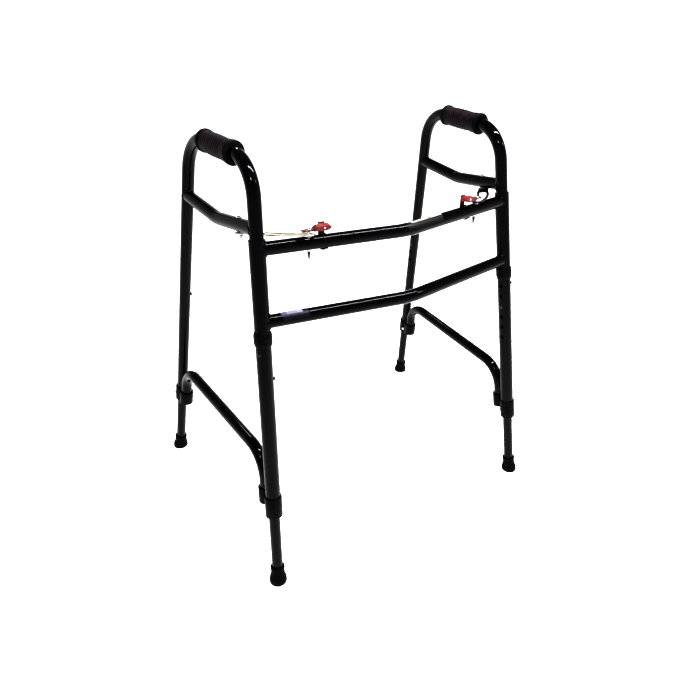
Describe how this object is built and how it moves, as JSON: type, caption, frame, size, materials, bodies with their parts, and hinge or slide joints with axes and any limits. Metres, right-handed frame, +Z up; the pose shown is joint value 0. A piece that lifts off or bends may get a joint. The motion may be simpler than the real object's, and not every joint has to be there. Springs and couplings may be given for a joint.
{
  "type": "walking frame",
  "caption": "Folding walking frame with two hinged side frames, bowed crossbars, slotted locking struts with release levers, contoured hand grips and height-adjustable legs with rubber tips.",
  "frame": {"origin": "centre of the footprint on the floor, between the four feet", "axes": "+Z up, -Y towards the front crossbars, +X towards the left grip of the person holding it"},
  "size_m": [0.7842, 0.5736, 0.8643],
  "materials": {
    "black_paint": "glossy black powder coat",
    "black_vinyl": "matte vinyl",
    "black_plastic": "moulded nylon",
    "black_rubber": "moulded rubber",
    "zinc_steel": "zinc plated steel",
    "strut_steel": "stamped plated steel",
    "red_coating": "dipped red coating",
    "spring_steel": "spring steel",
    "cream_label": "printed film, blank",
    "blue_label": "printed film, blank"
  },
  "bodies": {
    "cross_frame": {"upper_crossbar": "black_paint", "lower_crossbar": "black_paint", "left_hinge_sleeve": "black_paint", "left_latch_bracket": "red_coating", "left_latch_bushing": "zinc_steel", "left_lever_spring": "spring_steel", "right_hinge_sleeve": "black_paint", "right_latch_bracket": "red_coating", "right_latch_bushing": "zinc_steel", "right_lever_spring": "spring_steel", "latch_pivot_pins": "zinc_steel", "latch_bracket_screws": "zinc_steel", "upper_crossbar_label": "cream_label", "lower_crossbar_label": "blue_label"},
    "left_side_frame": {"left_side_tube": "black_paint", "left_hand_grip": "black_vinyl", "left_front_leg_sleeve": "black_paint", "left_upper_side_brace": "black_paint", "left_lower_side_brace": "black_paint", "left_hinge_collar": "black_plastic", "left_front_leg_collar": "black_plastic", "left_rear_leg_collar": "black_plastic", "left_leg_screws": "zinc_steel", "left_strut_bolt": "zinc_steel", "left_strut_nut": "zinc_steel"},
    "left_front_leg": {"left_front_leg_extension": "black_paint", "left_front_rubber_tip": "black_rubber"},
    "left_front_button": {"left_front_snap_button": "zinc_steel", "left_front_button_clip": "spring_steel"},
    "left_rear_leg": {"left_rear_leg_extension": "black_paint", "left_rear_rubber_tip": "black_rubber"},
    "left_rear_button": {"left_rear_snap_button": "zinc_steel", "left_rear_button_clip": "spring_steel"},
    "left_strut": {"left_locking_strut": "strut_steel"},
    "left_lever": {"left_release_lever": "red_coating"},
    "left_pin": {"left_latch_pin": "zinc_steel"},
    "right_side_frame": {"right_side_tube": "black_paint", "right_hand_grip": "black_vinyl", "right_front_leg_sleeve": "black_paint", "right_upper_side_brace": "black_paint", "right_lower_side_brace": "black_paint", "right_hinge_collar": "black_plastic", "right_front_leg_collar": "black_plastic", "right_rear_leg_collar": "black_plastic", "right_leg_screws": "zinc_steel", "right_strut_bolt": "zinc_steel", "right_strut_nut": "zinc_steel"},
    "right_front_leg": {"right_front_leg_extension": "black_paint", "right_front_rubber_tip": "black_rubber"},
    "right_front_button": {"right_front_snap_button": "zinc_steel", "right_front_button_clip": "spring_steel"},
    "right_rear_leg": {"right_rear_leg_extension": "black_paint", "right_rear_rubber_tip": "black_rubber"},
    "right_rear_button": {"right_rear_snap_button": "zinc_steel", "right_rear_button_clip": "spring_steel"},
    "right_strut": {"right_locking_strut": "strut_steel"},
    "right_lever": {"right_release_lever": "red_coating"},
    "right_pin": {"right_latch_pin": "zinc_steel"}
  },
  "joints": [
    {"name": "left_side_fold", "type": "hinge", "parent": "cross_frame", "child": "left_side_frame", "pos_m": [0.3381, -0.2687, 0], "axis": [-0.0721, 0.1616, 0.9842], "range_deg": [0, 56]},
    {"name": "left_front_leg_height", "type": "slide", "parent": "left_side_frame", "child": "left_front_leg", "axis": [0.0721, -0.1616, -0.9842], "range_m": [-0.0508, 0.0762]},
    {"name": "left_front_button_press", "type": "slide", "parent": "left_side_frame", "child": "left_front_button", "axis": [0.9612, 0.2747, 0.0253], "range_m": [0, 0.0068], "stiffness_N_per_m": 800},
    {"name": "left_rear_leg_height", "type": "slide", "parent": "left_side_frame", "child": "left_rear_leg", "axis": [0.0937, 0.1678, -0.9814], "range_m": [-0.0508, 0.0762]},
    {"name": "left_rear_button_press", "type": "slide", "parent": "left_side_frame", "child": "left_rear_button", "axis": [0.9517, 0.2744, 0.1378], "range_m": [0, 0.0044], "stiffness_N_per_m": 800},
    {"name": "left_strut_swing", "type": "hinge", "parent": "left_side_frame", "child": "left_strut", "pos_m": [0.28916, -0.08906, 0.7233], "axis": [0.0721, -0.1616, -0.9842], "range_deg": [0, 52]},
    {"name": "left_lever_press", "type": "hinge", "parent": "cross_frame", "child": "left_lever", "pos_m": [0.16738, -0.17388, 0.7252], "axis": [0.1633, -0.9866, 0], "range_deg": [0, 10], "stiffness_Nm_per_rad": 0.15},
    {"name": "left_pin_lift", "type": "slide", "parent": "cross_frame", "child": "left_pin", "axis": [0, 0, 1], "range_m": [0, 0.0058]},
    {"name": "right_side_fold", "type": "hinge", "parent": "cross_frame", "child": "right_side_frame", "pos_m": [-0.3381, -0.2687, 0], "axis": [-0.0721, -0.1616, -0.9842], "range_deg": [0, 80]},
    {"name": "right_front_leg_height", "type": "slide", "parent": "right_side_frame", "child": "right_front_leg", "axis": [-0.0721, -0.1616, -0.9842], "range_m": [-0.0508, 0.0762]},
    {"name": "right_front_button_press", "type": "slide", "parent": "right_side_frame", "child": "right_front_button", "axis": [-0.9612, 0.2747, 0.0253], "range_m": [0, 0.0068], "stiffness_N_per_m": 800},
    {"name": "right_rear_leg_height", "type": "slide", "parent": "right_side_frame", "child": "right_rear_leg", "axis": [-0.0937, 0.1678, -0.9814], "range_m": [-0.0508, 0.0762]},
    {"name": "right_rear_button_press", "type": "slide", "parent": "right_side_frame", "child": "right_rear_button", "axis": [-0.9517, 0.2744, 0.1378], "range_m": [0, 0.0044], "stiffness_N_per_m": 800},
    {"name": "right_strut_swing", "type": "hinge", "parent": "right_side_frame", "child": "right_strut", "pos_m": [-0.28916, -0.08906, 0.7233], "axis": [0.0721, 0.1616, 0.9842], "range_deg": [0, 74]},
    {"name": "right_lever_press", "type": "hinge", "parent": "cross_frame", "child": "right_lever", "pos_m": [-0.16738, -0.17388, 0.7252], "axis": [0.1633, 0.9866, 0], "range_deg": [0, 10], "stiffness_Nm_per_rad": 0.15},
    {"name": "right_pin_lift", "type": "slide", "parent": "cross_frame", "child": "right_pin", "axis": [0, 0, 1], "range_m": [0, 0.0058]}
  ],
  "couplings": [
    {"joint": "left_strut_swing", "follows": "left_side_fold", "ratio": 0.92},
    {"joint": "left_pin_lift", "follows": "left_lever_press", "m_per_rad": 0.033},
    {"joint": "right_strut_swing", "follows": "right_side_fold", "ratio": 0.92},
    {"joint": "right_pin_lift", "follows": "right_lever_press", "m_per_rad": 0.033}
  ]
}
